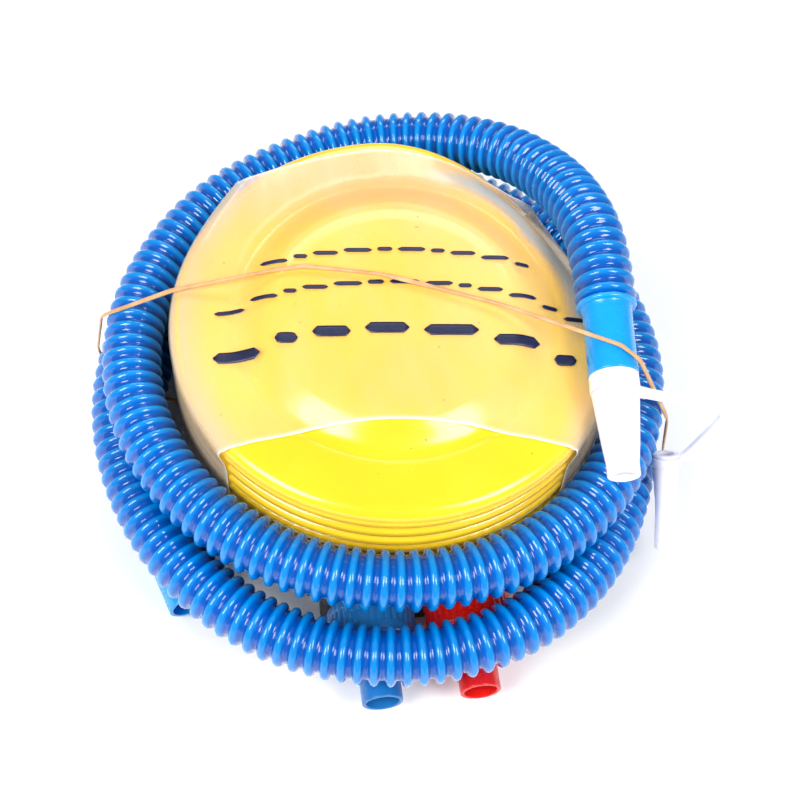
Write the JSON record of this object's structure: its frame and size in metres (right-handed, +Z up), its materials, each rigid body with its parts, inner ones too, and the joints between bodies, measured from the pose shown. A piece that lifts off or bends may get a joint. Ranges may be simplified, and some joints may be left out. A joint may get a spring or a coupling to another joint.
{
  "type": "ball inflation pump",
  "caption": "Round yellow foot bellows pump with a flat top and two valve nozzles, packed in a film sleeve with its blue ribbed hose wound round it and held by a rubber band.",
  "frame": {"origin": "middle of the pump's underside, in the plane of its feet", "axes": "+Z up out of the foot pad, -Y the way the two valve nozzles point, +X to the right seen from the nozzles"},
  "size_m": [0.2137, 0.2159, 0.1017],
  "materials": {
    "yellow_plastic": "glossy soft PVC",
    "black_plastic": "satin moulded",
    "blue_plastic": "semi-gloss moulded",
    "red_plastic": "semi-gloss moulded",
    "gasket_rubber": "soft black rubber",
    "foot_rubber": "matt rubber",
    "spring_steel": "drawn wire, lightly oiled",
    "clear_film": "clear polythene film, lightly creased",
    "band_rubber": "tan natural rubber",
    "hose_plastic": "glossy blown polythene with rounded ribs",
    "cuff_plastic": "glossy, slightly translucent",
    "nozzle_plastic": "milky translucent moulding"
  },
  "bodies": {
    "base": {"base_shell": "black_plastic", "rubber_feet": "foot_rubber", "blue_valve_housing": "blue_plastic", "blue_valve_gasket": "gasket_rubber", "blue_valve_seat": "blue_plastic", "red_valve_housing": "red_plastic", "red_valve_gasket": "gasket_rubber", "red_valve_seat": "red_plastic", "bellows": "yellow_plastic", "return_spring": "spring_steel", "film_sleeve": "clear_film", "rubber_band": "band_rubber", "hose": "hose_plastic", "air_end_cuff": "cuff_plastic", "pump_end_cuff": "cuff_plastic"},
    "top": {"top_shell": "yellow_plastic", "top_stiffener": "black_plastic", "spring_cup": "black_plastic"},
    "blue_flap": {"blue_valve_flap": "gasket_rubber"},
    "red_flap": {"red_valve_flap": "gasket_rubber"},
    "nozzle": {"air_nozzle": "nozzle_plastic"},
    "tether": {"nozzle_tether": "nozzle_plastic", "small_adapter": "nozzle_plastic"}
  },
  "joints": [
    {"name": "top_press", "type": "slide", "parent": "base", "child": "top", "axis": [0, 0, -1], "range_m": [0, 0.025], "stiffness_N_per_m": 950, "springref_m": -0.008, "deforming": ["bellows", "return_spring", "film_sleeve"]},
    {"name": "blue_flap_swing", "type": "hinge", "parent": "base", "child": "blue_flap", "pos_m": [-0.0165, -0.0751, 0.0243], "axis": [-1, 0, 0], "range_deg": [0, 35]},
    {"name": "red_flap_swing", "type": "hinge", "parent": "base", "child": "red_flap", "pos_m": [0.0165, -0.0714, 0.0243], "axis": [1, 0, 0], "range_deg": [0, 35]},
    {"name": "nozzle_pull", "type": "slide", "parent": "base", "child": "nozzle", "axis": [-0.0811, -0.9877, -0.1336], "range_m": [0, 0.01]},
    {"name": "tether_swing", "type": "hinge", "parent": "nozzle", "child": "tether", "pos_m": [0.06574, -0.04013, 0.08553], "axis": [-0.0811, -0.9877, -0.1336], "range_deg": [0, 60]}
  ]
}
